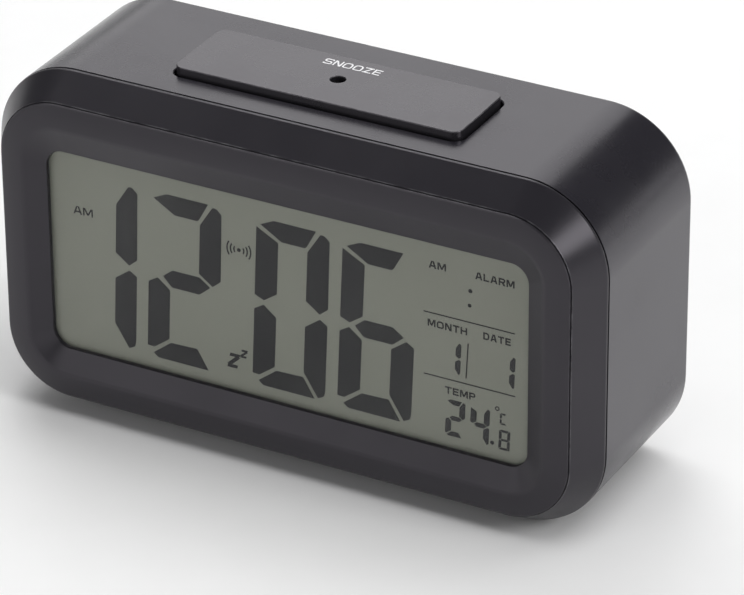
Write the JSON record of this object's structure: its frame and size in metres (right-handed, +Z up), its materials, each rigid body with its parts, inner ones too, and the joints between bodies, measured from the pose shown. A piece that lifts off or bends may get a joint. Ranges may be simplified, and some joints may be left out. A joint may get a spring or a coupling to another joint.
{
  "type": "alarm clock",
  "caption": "Battery-powered digital desk alarm clock: black rounded casing with a framed LCD, a long snooze bar on top, rear setting keys, a slide switch and a hinged battery door.",
  "frame": {"origin": "middle of the footprint, on the surface that the rubber feet stand on", "axes": "+X to the right as the display is read, +Y towards the back, +Z up; the display faces -Y"},
  "size_m": [0.139, 0.047, 0.0793],
  "materials": {
    "casing_plastic": "satin black ABS with a very fine spark texture",
    "bezel_plastic": "satin black ABS, a little glossier than the casing",
    "bar_plastic": "satin black ABS with a printed white label",
    "key_plastic": "semi-matt dark moulded keys",
    "switch_plastic": "black moulded component body",
    "foot_rubber": "soft matt black rubber",
    "lens_clear": "thin clear acrylic window with an anti-glare surface",
    "lcd_glass": "grey-green reflective LCD with dark segments",
    "guide_acrylic": "milky acrylic light guide",
    "holder_plastic": "white moulded holder",
    "board_laminate": "green solder mask on glass-epoxy laminate",
    "epoxy": "black potting epoxy",
    "steel": "nickel-plated steel",
    "cell_jacket": null,
    "zebra_rubber": "layered conductive elastomer",
    "cable_jacket": "grey flat cable",
    "red_insulation": "red wire insulation",
    "black_insulation": "black wire insulation",
    "lamp_resin": "clear amber resin"
  },
  "bodies": {
    "housing": {"backlight_led": "lamp_resin", "battery_cell_1": "cell_jacket", "battery_cell_2": "cell_jacket", "battery_cell_3": "cell_jacket", "battery_lead_negative": "black_insulation", "battery_lead_positive": "red_insulation", "board_screw_lower_left": "steel", "board_screw_lower_right": "steel", "board_screw_upper_left": "steel", "board_screw_upper_right": "steel", "buzzer": "switch_plastic", "case_screw_lower_left": "steel", "case_screw_lower_right": "steel", "case_screw_upper_left": "steel", "case_screw_upper_right": "steel", "contact_bridge_left": "steel", "contact_bridge_right": "steel", "contact_negative": "steel", "contact_positive": "steel", "controller_chip": "epoxy", "crystal": "steel", "display_lens": "lens_clear", "down_switch_body": "switch_plastic", "foot_front_left": "foot_rubber", "foot_front_right": "foot_rubber", "foot_rear_left": "foot_rubber", "foot_rear_right": "foot_rubber", "front_bezel": "bezel_plastic", "key_board": "board_laminate", "key_ribbon": "cable_jacket", "lcd_holder": "holder_plastic", "lcd_panel": "lcd_glass", "light_guide": "guide_acrylic", "light_sensor": "lamp_resin", "main_board": "board_laminate", "mode_switch_body": "switch_plastic", "rear_casing": "casing_plastic", "sensor_ribbon": "cable_jacket", "set_switch_body": "switch_plastic", "slide_switch_body": "steel", "snooze_switch_body": "switch_plastic", "thermistor": "epoxy", "top_board": "board_laminate", "unit_switch_body": "switch_plastic", "up_switch_body": "switch_plastic", "zebra_strip": "zebra_rubber"},
    "snooze": {"snooze_bar": "bar_plastic", "snooze_switch_plunger": "key_plastic"},
    "mode_key": {"mode_button": "key_plastic", "mode_switch_plunger": "key_plastic"},
    "set_key": {"set_button": "key_plastic", "set_switch_plunger": "key_plastic"},
    "up_key": {"up_button": "key_plastic", "up_switch_plunger": "key_plastic"},
    "down_key": {"down_button": "key_plastic", "down_switch_plunger": "key_plastic"},
    "unit_key": {"unit_button": "key_plastic", "unit_switch_plunger": "key_plastic"},
    "light_switch": {"light_switch_knob": "key_plastic"},
    "door": {"battery_door": "casing_plastic"}
  },
  "joints": [
    {"name": "snooze_press", "type": "slide", "parent": "housing", "child": "snooze", "axis": [0, 0, -1], "range_m": [0, 0.0006], "stiffness_N_per_m": 1500, "springref_m": -0.0003},
    {"name": "mode_press", "type": "slide", "parent": "housing", "child": "mode_key", "axis": [0, -1, 0], "range_m": [0, 0.0004], "stiffness_N_per_m": 1500, "springref_m": -0.0003},
    {"name": "set_press", "type": "slide", "parent": "housing", "child": "set_key", "axis": [0, -1, 0], "range_m": [0, 0.0004], "stiffness_N_per_m": 1500, "springref_m": -0.0003},
    {"name": "up_press", "type": "slide", "parent": "housing", "child": "up_key", "axis": [0, -1, 0], "range_m": [0, 0.0004], "stiffness_N_per_m": 1500, "springref_m": -0.0003},
    {"name": "down_press", "type": "slide", "parent": "housing", "child": "down_key", "axis": [0, -1, 0], "range_m": [0, 0.0004], "stiffness_N_per_m": 1500, "springref_m": -0.0003},
    {"name": "unit_press", "type": "slide", "parent": "housing", "child": "unit_key", "axis": [0, -1, 0], "range_m": [0, 0.0004], "stiffness_N_per_m": 1500, "springref_m": -0.0003},
    {"name": "light_switch_slide", "type": "slide", "parent": "housing", "child": "light_switch", "axis": [1, 0, 0], "range_m": [0, 0.002]},
    {"name": "battery_door_open", "type": "hinge", "parent": "housing", "child": "door", "pos_m": [0, 0.0235, 0.0091], "axis": [-1, 0, 0], "range_deg": [0, 70]}
  ]
}
